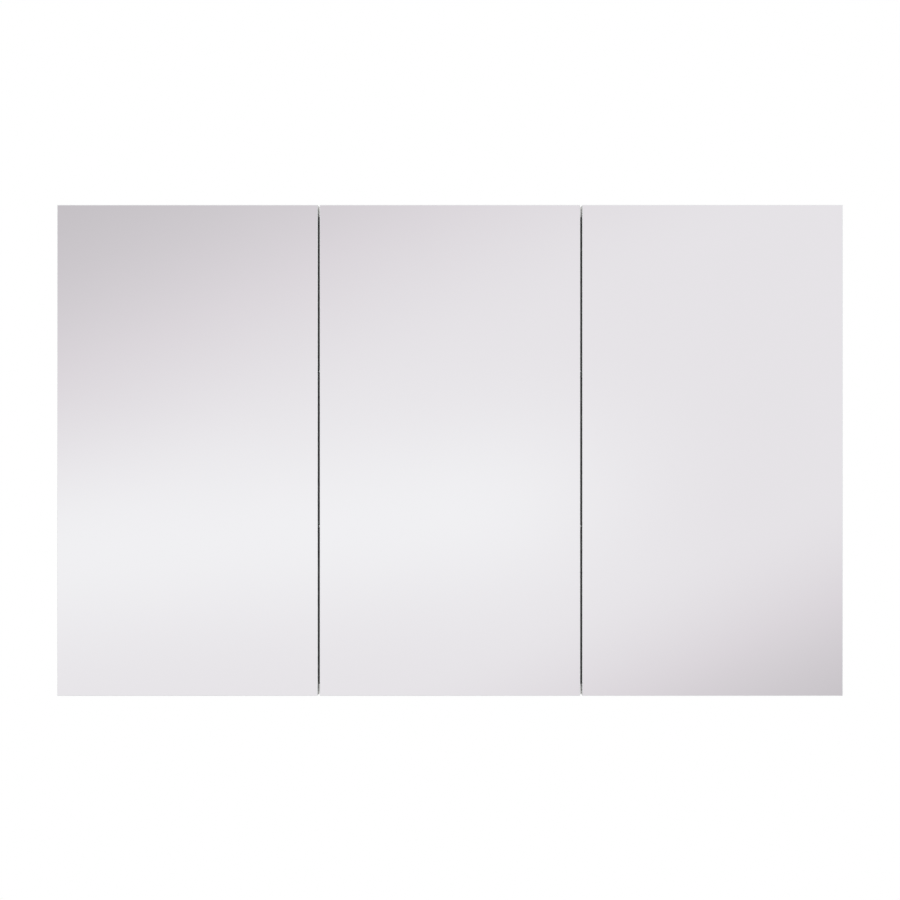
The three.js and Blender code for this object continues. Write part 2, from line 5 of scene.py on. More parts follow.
import bmesh
import bpy
from mathutils import Matrix, Vector


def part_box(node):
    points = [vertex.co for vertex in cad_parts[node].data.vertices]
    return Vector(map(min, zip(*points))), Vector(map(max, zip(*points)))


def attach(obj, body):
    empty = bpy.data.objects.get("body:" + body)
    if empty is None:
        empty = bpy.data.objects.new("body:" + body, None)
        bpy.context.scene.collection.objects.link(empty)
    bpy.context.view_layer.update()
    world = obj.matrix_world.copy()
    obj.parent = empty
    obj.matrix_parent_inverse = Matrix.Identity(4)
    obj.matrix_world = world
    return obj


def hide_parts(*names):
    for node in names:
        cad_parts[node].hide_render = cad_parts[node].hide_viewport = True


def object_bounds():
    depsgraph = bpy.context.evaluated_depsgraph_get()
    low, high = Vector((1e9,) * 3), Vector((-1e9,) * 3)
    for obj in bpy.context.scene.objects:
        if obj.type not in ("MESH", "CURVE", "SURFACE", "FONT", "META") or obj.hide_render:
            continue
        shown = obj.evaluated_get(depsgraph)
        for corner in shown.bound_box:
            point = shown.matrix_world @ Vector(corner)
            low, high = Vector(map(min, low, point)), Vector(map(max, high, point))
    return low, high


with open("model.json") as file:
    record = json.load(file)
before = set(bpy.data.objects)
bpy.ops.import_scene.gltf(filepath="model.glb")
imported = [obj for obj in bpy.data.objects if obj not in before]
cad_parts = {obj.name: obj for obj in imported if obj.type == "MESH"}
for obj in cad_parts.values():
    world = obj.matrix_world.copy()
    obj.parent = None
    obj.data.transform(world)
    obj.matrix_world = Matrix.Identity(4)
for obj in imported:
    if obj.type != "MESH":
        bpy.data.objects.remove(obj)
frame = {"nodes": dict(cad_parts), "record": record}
cad_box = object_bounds()
scene = bpy.context.scene
scene.view_settings.view_transform = "Standard"

NODES = frame["nodes"]
DOORS = ("left", "middle", "right")
LEVELS = ("upper", "lower")
MM = 0.001
X, Y, Z = 0, 1, 2


# ---------------------------------------------------------------- camera
CAMERA_DISTANCE = 3.2  # from the mirrors
CAMERA_RISE = 0.6 * MM  # above the middle of the object
WIDTH_SEEN = 1.3745  # at the mirrors


def make_camera():
    low, high = cad_box
    data = bpy.data.cameras.new("camera")
    data.sensor_width = 36.0
    data.lens = data.sensor_width * CAMERA_DISTANCE / WIDTH_SEEN
    camera = bpy.data.objects.new("camera", data)
    middle = (low + high) / 2
    camera.location = (middle.x, low.y - CAMERA_DISTANCE, middle.z + CAMERA_RISE)
    camera.rotation_euler = (math.pi / 2, 0, 0)
    data.clip_end = 50
    scene.collection.objects.link(camera)
    scene.camera = camera


make_camera()


# ---------------------------------------------------------------- node helpers
class Graph:
    """A small way to write shader nodes as expressions."""

    def __init__(self, tree):
        self.tree = tree
        tree.nodes.clear()

    def node(self, kind, **settings):
        made = self.tree.nodes.new(kind)
        for key, value in settings.items():
            setattr(made, key, value)
        return made

    def feed(self, socket, value):
        if isinstance(value, bpy.types.NodeSocket):
            self.tree.links.new(value, socket)
        elif value is not None:
            socket.default_value = value

    def math(self, operation, a, b=None, c=None):
        made = self.node("ShaderNodeMath", operation=operation)
        for socket, value in zip(made.inputs, (a, b, c)):
            self.feed(socket, value)
        return made.outputs[0]

    def mix(self, factor, a, b):
        """Two colours mixed. Inputs 6 and 7 and output 2 are the node's colour sockets."""
        made = self.node("ShaderNodeMix", data_type="RGBA")
        self.feed(made.inputs[0], factor)
        self.feed(made.inputs[6], a)
        self.feed(made.inputs[7], b)
        return made.outputs[2]

    def noise(self, vector, scale, detail, roughness=0.5, stretch=None):
        if stretch is not None:
            mapping = self.node("ShaderNodeMapping")
            self.feed(mapping.inputs["Vector"], vector)
            mapping.inputs["Scale"].default_value = stretch
            vector = mapping.outputs[0]
        made = self.node("ShaderNodeTexNoise")
        self.feed(made.inputs["Vector"], vector)
        made.inputs["Scale"].default_value = scale
        made.inputs["Detail"].default_value = detail
        made.inputs["Roughness"].default_value = roughness
        return made.outputs[0]

    def range(self, value, a, b, low, high, kind="LINEAR"):
        """The value carried from the span a to b over to the span low to high, and held at its ends."""
        made = self.node("ShaderNodeMapRange", interpolation_type=kind)
        for socket, v in zip(made.inputs, (value, a, b, low, high)):
            self.feed(socket, v)
        return made.outputs[0]

    def smooth_step(self, *values):
        return self.range(*values, kind="SMOOTHSTEP")

    def bump(self, height, distance, strength):
        made = self.node("ShaderNodeBump")
        made.inputs["Strength"].default_value = strength
        made.inputs["Distance"].default_value = distance
        self.feed(made.inputs["Height"], height)
        return made.outputs[0]


def srgb(r, g, b):
    """Linear values of a colour given in 0 to 255."""

    def linear(value):
        share = value / 255
        return share / 12.92 if share <= 0.04 else ((share + 0.055) / 1.055) ** 2.4

    return linear(r), linear(g), linear(b), 1


def material(name, build):
    made = bpy.data.materials.new(name)
    made.use_nodes = True
    graph = Graph(made.node_tree)
    shader = graph.node("ShaderNodeBsdfPrincipled")
    out = graph.node("ShaderNodeOutputMaterial")
    graph.feed(out.inputs["Surface"], shader.outputs[0])
    coords = graph.node("ShaderNodeTexCoord")
    build(graph, shader.inputs, coords)
    return made


# ---------------------------------------------------------------- studio
SILVER = 0.93  # share of the light that the mirrors give back
# The room in front of the mirrors is a pale wall that darkens softly towards two opposite corners, with a
# slightly brighter strip of light across its left half. Tones run from 0 for black to 1 for white. Places are
# tangents of the angle from straight ahead.
ROOM_TONE = 0.89
CORNER_TONE = 0.74
CORNER_LEAN = 0.45
LOWER_FADE = (-0.24, -0.1)
UPPER_FADE = (0.04, 0.24)
CORNER_REACH = (0.22, 0.5)  # further out than this, the wall is pale again
STRIP_HEIGHT = -0.03
STRIP_LEAN = 0.1
STRIP_HALF_WIDTH = 0.05
STRIP_LIFT = 0.05
STRIP_END = (0.0, 0.15)
LILAC_TONES = (0.84, 0.95)  # darker tones are a little lilac, and paler ones aren't
LILAC_RED = 0.05
LILAC_BLUE = 0.03
COOL_BLUE = 1.02
BEHIND = (-0.65, 0.15)  # the direction's Y, from the room in front to the white studio behind
LEAST_FORWARD = 0.08  # keeps the tangents finite towards the sides


def make_world():
    """White studio behind the object, and in front of it the soft room that the mirrors show."""
    world = bpy.data.worlds.new("studio")
    scene.world = world
    world.use_nodes = True
    g = Graph(world.node_tree)
    out = g.node("ShaderNodeOutputWorld")
    background = g.node("ShaderNodeBackground")
    g.feed(out.inputs["Surface"], background.outputs[0])
    coords = g.node("ShaderNodeTexCoord")
    split = g.node("ShaderNodeSeparateXYZ")
    g.feed(split.inputs[0], coords.outputs["Generated"])
    x, y, z = split.outputs
    front = g.math("MAXIMUM", g.math("MULTIPLY", y, -1.0), LEAST_FORWARD)
    across = g.math("DIVIDE", x, front)
    up = g.math("DIVIDE", z, front)

    height = g.math("MULTIPLY_ADD", across, -CORNER_LEAN, up)
    risen = g.smooth_step(height, *LOWER_FADE, 0.0, 1.0)
    pale = g.math("MULTIPLY", risen, g.smooth_step(height, *UPPER_FADE, 1.0, 0.0))
    out_by = g.math("MAXIMUM", g.math("ABSOLUTE", across), g.math("ABSOLUTE", up))
    aside = g.smooth_step(out_by, *CORNER_REACH, 0.0, 1.0)
    wall = g.math("MULTIPLY_ADD", g.math("MAXIMUM", pale, aside), ROOM_TONE - CORNER_TONE, CORNER_TONE)

    middle = g.math("MULTIPLY_ADD", across, STRIP_LEAN, STRIP_HEIGHT)
    away = g.math("DIVIDE", g.math("SUBTRACT", up, middle), STRIP_HALF_WIDTH)
    strip = g.math("EXPONENT", g.math("MULTIPLY", g.math("MULTIPLY", away, away), -1.0))
    lift = g.smooth_step(across, *STRIP_END, STRIP_LIFT, 0.0)
    tone = g.math("MULTIPLY_ADD", strip, lift, wall)

    # from a tone as it shows on screen to linear light
    light = g.math("POWER", g.math("DIVIDE", g.math("ADD", tone, 0.055), 1.055), 2.4)
    light = g.math("DIVIDE", light, SILVER)
    lilac = g.range(tone, *LILAC_TONES, 1.0, 0.0)
    red = g.math("MULTIPLY", light, g.math("MULTIPLY_ADD", lilac, LILAC_RED, 1.0))
    blue = g.math("MULTIPLY", light, g.math("MULTIPLY_ADD", lilac, LILAC_BLUE, COOL_BLUE))
    colour = g.node("ShaderNodeCombineColor")
    for socket, value in zip(colour.inputs, (red, light, blue)):
        g.feed(socket, value)
    behind = g.smooth_step(y, *BEHIND, 0.0, 1.0)
    g.feed(background.inputs["Color"], g.mix(behind, colour.outputs[0], (1, 1, 1, 1)))
    background.inputs["Strength"].default_value = 1.0


make_world()


def area_light(name, place, target, size, power):
    data = bpy.data.lights.new(name, "AREA")
    data.shape = "RECTANGLE"
    data.size, data.size_y = size
    data.energy = power
    made = bpy.data.objects.new(name, data)
    made.location = place
    made.rotation_euler = (Vector(target) - Vector(place)).to_track_quat("-Z", "Y").to_euler()
    made.visible_glossy = False  # the mirrors show the room, not the lamps
    scene.collection.objects.link(made)


CENTRE = (cad_box[0] + cad_box[1]) / 2
area_light("key", (-3.2, -3.0, 2.4), CENTRE, (1.6, 1.6), 10)
area_light("fill", (3.4, -2.2, 1.2), CENTRE, (2.0, 2.0), 6)
area_light("back", (1.8, 3.2, 2.0), CENTRE, (1.6, 1.6), 8)


def front_light():
    """Soft light from straight in front, which reaches down the narrow gaps between the doors."""
    data = bpy.data.lights.new("front", "SUN")
    data.energy = 1.1
    data.angle = math.radians(6)
    made = bpy.data.objects.new("front", data)
    made.rotation_euler = (math.pi / 2, 0, 0)
    made.visible_glossy = False
    scene.collection.objects.link(made)


front_light()


FLOOR_DROP = 1.6  # below the object, which hangs on a wall
FLOOR_RADIUS = 5.0
FLOOR_SIDES = 96


def make_floor():
    mesh = bpy.data.meshes.new("floor")
    z = cad_box[0].z - FLOOR_DROP
    angles = [math.tau * i / FLOOR_SIDES for i in range(FLOOR_SIDES)]
    rim = [(FLOOR_RADIUS * math.cos(a), FLOOR_RADIUS * math.sin(a), z) for a in angles]
    mesh.from_pydata(rim, [], [tuple(range(FLOOR_SIDES))])
    made = bpy.data.objects.new("floor", mesh)
    scene.collection.objects.link(made)

    def paint(g, s, c):
        s["Roughness"].default_value = 0.85
        s["Specular IOR Level"].default_value = 0.2
        cloud = g.noise(c.outputs["Object"], 1.5, 3)
        g.feed(s["Base Color"], g.mix(cloud, (0.72, 0.72, 0.72, 1), (0.76, 0.76, 0.76, 1)))

    mesh.materials.append(material("studio_floor", paint))


make_floor()


# ---------------------------------------------------------------- materials
SEAM_WIDTH = 0.00015
BAND = 0.0006  # thickness of the edge bands


def paint_board(tone, seams):
    """White melamine-faced board: a fine pearl texture, a faint change of tone across it, and a hairline
    seam where each edge band meets the face. seams gives, for an axis, the places of the seams along it."""

    def paint(g, s, c):
        v = c.outputs["Object"]
        pearl = g.noise(v, 900.0, 4, 0.6)
        cloud = g.noise(v, 3.0, 2)
        base = g.mix(cloud, srgb(*(t - 4 for t in tone)), srgb(*tone))
        fleck = g.range(pearl, 0.35, 0.7, 0.0, 0.06)
        base = g.mix(fleck, base, srgb(205, 205, 203))
        split = g.node("ShaderNodeSeparateXYZ")
        g.feed(split.inputs[0], v)
        line = 0.0
        for axis, places in seams:
            for place in places:
                away = g.math("ABSOLUTE", g.math("SUBTRACT", split.outputs[axis], place))
                line = g.math("MAXIMUM", line, g.range(away, SEAM_WIDTH / 2, SEAM_WIDTH, 1.0, 0.0))
        g.feed(s["Base Color"], g.mix(g.math("MULTIPLY", line, 0.35), base, srgb(150, 148, 144)))
        g.feed(s["Roughness"], g.range(pearl, 0.3, 0.7, 0.36, 0.5))
        relief = g.math("MULTIPLY_ADD", line, -1.0, pearl)
        g.feed(s["Normal"], g.bump(relief, 0.00006, 0.5))

    return paint


def paint_hardboard(g, s, c):
    v = c.outputs["Object"]
    roller = g.noise(v, 420.0, 3, 0.65, stretch=(1.0, 1.0, 0.35))
    cloud = g.noise(v, 4.0, 3)
    g.feed(s["Base Color"], g.mix(cloud, srgb(228, 227, 224), srgb(236, 235, 233)))
    g.feed(s["Roughness"], g.range(roller, 0.3, 0.7, 0.5, 0.68))
    g.feed(s["Normal"], g.bump(roller, 0.00012, 0.6))


def paint_mirror(g, s, c):
    """Silvered glass. The face is a clean mirror, its corners are finely ground, the sides show the green
    of the glass, and the back is sealed with grey paint."""
    normal = g.node("ShaderNodeSeparateXYZ")
    g.feed(normal.inputs[0], c.outputs["Normal"])
    facing = g.math("MULTIPLY", normal.outputs[1], -1.0)
    face = g.math("GREATER_THAN", facing, 0.985)
    side = g.math("LESS_THAN", g.math("ABSOLUTE", facing), 0.5)
    back = g.math("LESS_THAN", facing, -0.985)
    haze = g.noise(c.outputs["Object"], 7.0, 4)
    ground = g.noise(c.outputs["Object"], 800.0, 3, 0.6)
    silver = g.mix(haze, (SILVER - 0.004,) * 3 + (1,), (SILVER + 0.004,) * 3 + (1,))
    corner = g.mix(ground, srgb(206, 208, 208), srgb(222, 224, 224))
    green = g.mix(ground, srgb(168, 184, 176), srgb(200, 212, 206))
    edge = g.mix(side, corner, green)
    edge = g.mix(back, edge, srgb(128, 132, 134))
    g.feed(s["Base Color"], g.mix(face, edge, silver))
    polish = g.range(haze, 0.3, 0.7, 0.0, 0.012)
    dull = g.math("SUBTRACT", 1.0, face)
    g.feed(s["Roughness"], g.math("MULTIPLY_ADD", dull, 0.3, polish))
    g.feed(s["Metallic"], face)


def paint_tape(g, s, c):
    cells = g.noise(c.outputs["Object"], 900.0, 2, 0.7)
    g.feed(s["Base Color"], g.mix(cells, srgb(196, 196, 194), srgb(222, 222, 220)))
    s["Roughness"].default_value = 0.9
    g.feed(s["Normal"], g.bump(cells, 0.0002, 0.8))


def paint_glass(g, s, c):
    """Clear shelf glass with the green of its edges."""
    face = g.node("ShaderNodeSeparateXYZ")
    g.feed(face.inputs[0], c.outputs["Normal"])
    edge = g.math("LESS_THAN", g.math("ABSOLUTE", face.outputs[2]), 0.7)
    g.feed(s["Base Color"], g.mix(edge, (0.95, 0.985, 0.97, 1), srgb(120, 186, 164)))
    film = g.noise(c.outputs["Object"], 12.0, 4)
    g.feed(s["Roughness"], g.math("MULTIPLY_ADD", edge, 0.12, g.range(film, 0.4, 0.8, 0.0, 0.03)))
    s["IOR"].default_value = 1.5
    s["Transmission Weight"].default_value = 0.95


def paint_nickel(g, s, c):
    """Bright nickel plate over pressed steel: faint draw lines and a slight warm cloud."""
    v = c.outputs["Object"]
    drawn = g.noise(v, 260.0, 3, 0.55, stretch=(1.0, 1.0, 0.06))
    cloud = g.noise(v, 24.0, 2)
    g.feed(s["Base Color"], g.mix(cloud, (0.66, 0.645, 0.615, 1), (0.71, 0.70, 0.68, 1)))
    g.feed(s["Roughness"], g.range(drawn, 0.3, 0.7, 0.2, 0.3))
    s["Metallic"].default_value = 1.0
    g.feed(s["Normal"], g.bump(drawn, 0.00003, 0.2))


def paint_zinc(g, s, c):
    v = c.outputs["Object"]
    spangle = g.node("ShaderNodeTexVoronoi")
    g.feed(spangle.inputs["Vector"], v)
    spangle.inputs["Scale"].default_value = 190.0
    tone = g.range(spangle.outputs["Color"], 0.0, 1.0, 0.0, 1.0)
    rolled = g.noise(v, 700.0, 2, 0.6, stretch=(0.05, 1.0, 1.0))
    g.feed(s["Base Color"], g.mix(tone, (0.52, 0.54, 0.56, 1), (0.62, 0.64, 0.66, 1)))
    g.feed(s["Roughness"], g.range(rolled, 0.3, 0.7, 0.28, 0.42))
    s["Metallic"].default_value = 1.0
    g.feed(s["Normal"], g.bump(rolled, 0.00004, 0.5))


def paint_plastic(g, s, c):
    grain = g.noise(c.outputs["Object"], 1500.0, 2, 0.6)
    cloud = g.noise(c.outputs["Object"], 20.0, 2)
    g.feed(s["Base Color"], g.mix(cloud, srgb(232, 232, 230), srgb(238, 238, 236)))
    g.feed(s["Roughness"], g.range(grain, 0.3, 0.7, 0.32, 0.46))
    g.feed(s["Normal"], g.bump(grain, 0.00005, 0.5))
    s["Subsurface Weight"].default_value = 0.05


def paint_bumper(g, s, c):
    haze = g.noise(c.outputs["Object"], 300.0, 2)
    g.feed(s["Base Color"], g.mix(haze, srgb(226, 228, 228), srgb(238, 240, 240)))
    g.feed(s["Roughness"], g.range(haze, 0.3, 0.7, 0.15, 0.3))
    s["Transmission Weight"].default_value = 0.55
    s["IOR"].default_value = 1.48


carcass_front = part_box("side_panel_left")[0].y
door_low, door_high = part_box("door_panel_left")
carcass_seams = [(Y, [carcass_front + BAND])]
door_seams = [(Z, [door_low.z + BAND, door_high.z - BAND])]
MATERIALS = {
    "carcass_board": material("carcass_melamine", paint_board((232, 232, 230), carcass_seams)),
    "door_board": material("door_melamine", paint_board((233, 233, 231), door_seams)),
    "back_board": material("hardboard", paint_hardboard),
    "mirror": material("silvered_glass", paint_mirror),
    "foam_tape": material("foam_tape", paint_tape),
    "shelf_glass": material("shelf_glass", paint_glass),
    "nickel_steel": material("nickel", paint_nickel),
    "zinc_steel": material("zinc", paint_zinc),
    "white_plastic": material("nylon", paint_plastic),
    "bumper": material("bumper", paint_bumper),
}
SLOT_OF = {entry["node"]: entry["material_slot"] for entry in frame["record"]["subparts"]}
# How far each kind of CAD edge is rounded, in millimetres.
ROUNDING = {
    "carcass_board": 0.4,
    "door_board": 0.5,
    "back_board": 0.2,
    "shelf_glass": 0.6,
    "nickel_steel": 0.15,
    "zinc_steel": 0.25,
    "white_plastic": 0.5,
}


def smooth_by_angle(limit):
    """A node group that shades a mesh smooth, except across edges sharper than the limit."""
    tree = bpy.data.node_groups.new("smooth_by_angle", "GeometryNodeTree")
    tree.interface.new_socket("Geometry", in_out="INPUT", socket_type="NodeSocketGeometry")
    tree.interface.new_socket("Geometry", in_out="OUTPUT", socket_type="NodeSocketGeometry")
    g = Graph(tree)
    source = g.node("NodeGroupInput")
    sink = g.node("NodeGroupOutput")
    faces = g.node("GeometryNodeSetShadeSmooth", domain="FACE")
    edges = g.node("GeometryNodeSetShadeSmooth", domain="EDGE")
    angle = g.node("GeometryNodeInputMeshEdgeAngle")
    sharp = g.node("FunctionNodeCompare", data_type="FLOAT", operation="GREATER_THAN")
    g.feed(sharp.inputs[0], angle.outputs[0])
    sharp.inputs[1].default_value = limit
    g.feed(faces.inputs["Geometry"], source.outputs[0])
    faces.inputs["Shade Smooth"].default_value = True
    g.feed(edges.inputs["Geometry"], faces.outputs[0])
    g.feed(edges.inputs["Selection"], sharp.outputs[0])
    edges.inputs["Shade Smooth"].default_value = False
    g.feed(sink.inputs[0], edges.outputs[0])
    return tree


SMOOTHING = smooth_by_angle(math.radians(48))


def finish_node(name, node):
    slot = SLOT_OF[name]
    node.data.materials.clear()
    node.data.materials.append(MATERIALS[slot])
    if slot not in ROUNDING:
        return
    baked = node.data.attributes.get("custom_normal")
    if baked is not None:
        node.data.attributes.remove(baked)
    weld = node.modifiers.new("weld", "WELD")
    weld.merge_threshold = 0.00001
    flat = node.modifiers.new("flat", "DECIMATE")
    flat.decimate_type = "DISSOLVE"
    flat.angle_limit = math.radians(0.5)
    bevel = node.modifiers.new("bevel", "BEVEL")
    bevel.width = ROUNDING[slot] * MM
    bevel.segments = 2
    bevel.limit_method = "ANGLE"
    bevel.angle_limit = math.radians(50)
    smooth = node.modifiers.new("smooth", "NODES")
    smooth.node_group = SMOOTHING
    normals = node.modifiers.new("normals", "WEIGHTED_NORMAL")
    normals.keep_sharp = True
    normals.weight = 100


for node_name, node_object in NODES.items():
    finish_node(node_name, node_object)


# ---------------------------------------------------------------- small pieces
SMALL_SIDES = 32


def lathe(name, profile, steps=SMALL_SIDES):
    """A mesh turned about Z from (radius, height) points in millimetres."""
    bm = bmesh.new()
    angles = [math.tau * i / steps for i in range(steps)]
    rings = []
    for radius, height in profile:
        if radius == 0:
            points = [(0, 0, height * MM)]
        else:
            points = [(radius * MM * math.cos(a), radius * MM * math.sin(a), height * MM) for a in angles]
        rings.append([bm.verts.new(point) for point in points])
    for below, above in zip(rings, rings[1:]):
        for i in range(steps):
            j = (i + 1) % steps
            lower = (below[i % len(below)], below[j % len(below)])
            upper = (above[j % len(above)], above[i % len(above)])
            bm.faces.new(list(dict.fromkeys(lower + upper)))
    bmesh.ops.recalc_face_normals(bm, faces=bm.faces)
    mesh = bpy.data.meshes.new(name)
    bm.to_mesh(mesh)
    bm.free()
    return soften(mesh)


def soften(mesh):
    mesh.shade_smooth()
    mesh.set_sharp_from_angle(angle=math.radians(35))
    return mesh


# A cross recess tapers to these shares of its reach and width, and its cutter starts above the head.
CROSS_TAPER_REACH = 0.45
CROSS_TAPER_WIDTH = 0.7
CUTTER_RISE = 0.5


def cross_tool(name, reach, width, top, depth):
    """The cutter for a cross recess: two tapered bars, all in millimetres."""
    bm = bmesh.new()
    for turn in (0, math.pi / 2):
        bar = bmesh.ops.create_cube(bm, size=1)["verts"]
        for vert in bar:
            low = vert.co.z < 0
            long = reach * CROSS_TAPER_REACH if low else reach
            wide = width * CROSS_TAPER_WIDTH if low else width
            z = top - depth if low else top + CUTTER_RISE
            vert.co = Vector((vert.co.x * 2 * long, vert.co.y * wide, z)) * MM
            vert.co.rotate(Matrix.Rotation(turn, 3, "Z"))
    mesh = bpy.data.meshes.new(name)
    bm.to_mesh(mesh)
    bm.free()
    return mesh


def boolean(mesh, tool, operation):
    """The mesh united with the tool, or with the tool taken away from it."""
    subject = bpy.data.objects.new("subject", mesh)
    other = bpy.data.objects.new("other", tool)
    for made in (subject, other):
        scene.collection.objects.link(made)
    step = subject.modifiers.new("step", "BOOLEAN")
    step.object = other
    step.operation = operation
    step.solver = "EXACT"
    step.use_self = True
    bpy.context.view_layer.update()
    cut = subject.evaluated_get(bpy.context.evaluated_depsgraph_get())
    result = bpy.data.meshes.new_from_object(cut)
    result.name = mesh.name
    for made in (subject, other):
        bpy.data.objects.remove(made)
    return soften(result)


def cut_cross(mesh, reach, width, top, depth):
    """The mesh with a cross recess in its top."""
    return boolean(mesh, cross_tool(mesh.name + "_tool", reach, width, top, depth), "DIFFERENCE")


def piece(name, mesh, place, body, slot, look=None):
    """One small piece: its mesh at a place in the frame, riding on a body."""
    if not mesh.materials:
        mesh.materials.append(MATERIALS[look or slot])
    made = bpy.data.objects.new(name, mesh)
    made.matrix_world = place
    scene.collection.objects.link(made)
    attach(made, body)
    return made


def frame_at(origin, z_axis, x_axis):
    """A placement in metres whose local Z lies along z_axis, with local X as near x_axis as that allows."""
    z = Vector(z_axis).normalized()
    x = Vector(x_axis)
    x = (x - z * x.dot(z)).normalized()
    y = z.cross(x)
    turned = Matrix((x, y, z)).transposed().to_4x4()
    return Matrix.Translation(Vector(origin)) @ turned


# A cross recess's size, as shares of the head's radius.
CROSS_REACH = 0.55
CROSS_WIDTH = 0.22


# Screws and pins, each drawn along Z with the seat of its head at 0, in millimetres.
def countersunk(name, radius, shank, length):
    rim = 0.35
    cone = radius - shank
    body = [(0, -length), (shank * 0.4, -length + 1), (shank, -length + 3), (shank, -cone - rim)]
    head = [(radius - 0.1, -rim), (radius, -rim + 0.1), (radius, -0.08), (radius - 0.12, 0), (0, 0.06)]
    screw = lathe(name, body + head)
    return cut_cross(screw, radius * CROSS_REACH, radius * CROSS_WIDTH, 0.06, radius * 0.45)


def pan_head(name, radius, height, shank, length):
    body = [(0, -length), (shank * 0.8, -length + 0.2), (shank, -length + 0.6), (shank, 0)]
    angles = (0, 0.3, 0.6, 0.9, 1.2, 1.45)
    dome = [(radius * math.cos(a), height * (0.35 + 0.65 * math.sin(a))) for a in angles]
    head = [(radius - 0.1, 0), (radius, 0.1)] + dome + [(0, height)]
    screw = lathe(name, body + head)
    return cut_cross(screw, radius * CROSS_REACH, radius * CROSS_WIDTH, height, height * 0.7)


CUP_SCREW = countersunk("cup_screw", 3.6, 1.0, 11)
PLATE_SCREW = pan_head("plate_screw", 3.9, 2.0, 2.0, 1.9)
ARM_SCREW = pan_head("arm_screw", 3.6, 1.8, 2.2, 1.4)
SIDE_SCREW = pan_head("side_screw", 3.1, 1.3, 2.2, 1.4)
HANGER_SCREW = pan_head("hanger_screw", 3.4, 2.2, 1.8, 2.2)
RAIL_SCREW = pan_head("rail_screw", 4.4, 2.8, 2.4, 2.35)
WASHER = lathe(
    "washer",
    [(2.7, 0), (2.7, 1.0), (2.9, 1.1), (6.6, 1.1), (6.8, 0.9), (6.8, 0.1), (6.6, 0), (2.7, 0)],
)
RIVET_BIG = lathe(
    "rivet_big",
    [(0, 0), (2.3, 0), (2.4, 0.12), (2.2, 0.4), (1.7, 0.62), (0.9, 0.7), (0, 0.62)],
)
RIVET_SMALL = lathe(
    "rivet_small",
    [(0, 0), (1.7, 0), (1.8, 0.1), (1.6, 0.35), (1.1, 0.52), (0.6, 0.58), (0, 0.52)],
)
SHELF_PIN = lathe(
    "shelf_pin",
    [
        (0, -7.5),
        (1.6, -7.5),
        (2.1, -7.0),
        (2.1, 0.02),
        (3.3, 0.02),
        (3.45, 0.15),
        (3.45, 0.65),
        (3.3, 0.8),
        (2.1, 0.8),
        (2.1, 1.6),
        (2.45, 1.75),
        (2.45, 7.8),
        (2.3, 8.3),
        (1.8, 8.6),
        (0, 8.7),
    ],
)
BUMPER = lathe(
    "bumper",
    [(0, 0.02), (4.3, 0.02), (4.5, 0.2), (4.5, 0.9), (4.1, 1.35), (3.0, 1.7), (1.5, 1.85), (0, 1.9)],
)
CAM_CAP = lathe(
    "cam_cap",
    [
        (0, 0.02),
        (8.3, 0.02),
        (8.6, 0.2),
        (8.5, 0.5),
        (7.9, 0.85),
        (6.0, 0.95),
        (5.7, 0.8),
        (5.4, 0.95),
        (0, 1.05),
    ],
)


def moved(mesh, x, y, z, turn=None):
    """The mesh shifted by millimetres, after an optional turn."""
    shift = Matrix.Translation(Vector((x, y, z)) * MM)
    mesh.transform(shift @ turn if turn else shift)
    return mesh


# The hinge section, in millimetres: U inwards from the door's hinge edge, V forwards from the front of the
# carcass, W along the axis from the middle of the hinge.
CUP_MIDDLE_U = 22.5
DOOR_BACK_V = 2
INNER_CUP_PIN = (9.4, 9.2)
OUTER_CUP_PIN = (13.3, 11.1)
CUP_SCREW_U = 32
CUP_SCREW_W = 22.5
PLATE_SCREW_PLACE = (18.3, -37)
PLATE_SCREW_W = 16
ARM_FIXING_PLACE = (22.4, -54)
SIDE_ADJUSTING_PLACE = (22.4, -37)
INNER_ARM_PIN = (31.9, -20)
OUTER_ARM_PIN = (32, 4.7)
RIVET_W = 9.52  # just outside the arm's cheeks
# The cup's rim stands proud of the door, and its lip covers the edge of the recess in the door.
CUP_PROUD = 0.25
CUP_LIFT = 0.02  # from the door to the lip's underside
CUP_LIP = 19.8
EAR_RADIUS = 5.3
EAR_LIP = 6.3
FLANGE_DEPTH = 1.0
CUP_SIDES = 64


def block(low, high):
    """A plain box between two corners in millimetres, for building up a mesh."""
    bm = bmesh.new()
    bmesh.ops.create_cube(bm, size=1)
    for vert in bm.verts:
        corner = [high[axis] if vert.co[axis] > 0 else low[axis] for axis in (X, Y, Z)]
        vert.co = Vector(corner) * MM
    mesh = bpy.data.meshes.new("block")
    bm.to_mesh(mesh)
    bm.free()
    return mesh


# The cup is drawn in millimetres from the middle of its rim, with Z into the door and X away from the edge
# that the door is hung on.
def cup_pot():
    """The pressed bowl and the round part of its flange."""
    profile = [
        (0, 13.0),
        (15.6, 13.0),
        (16.6, 12.7),
        (17.1, 12.1),
        (17.4, 11.2),
        (17.4, FLANGE_DEPTH),
        (18.9, FLANGE_DEPTH),
        (19.0, 0.9),
        (19.0, -CUP_LIFT),
        (CUP_LIP, -CUP_LIFT),
        (CUP_LIP, 0.1 - CUP_PROUD),
        (CUP_LIP - 0.1, -CUP_PROUD),
        (17.7, -CUP_PROUD),
        (17.1, 0.1),
        (16.75, 0.6),
        (16.6, 1.2),
        (16.6, 10.6),
        (16.3, 11.5),
        (15.7, 12.0),
        (14.8, 12.2),
        (6.2, 12.2),
        (5.8, 11.9),
        (0, 11.8),
    ]
    return lathe("hinge_cup", profile, CUP_SIDES)


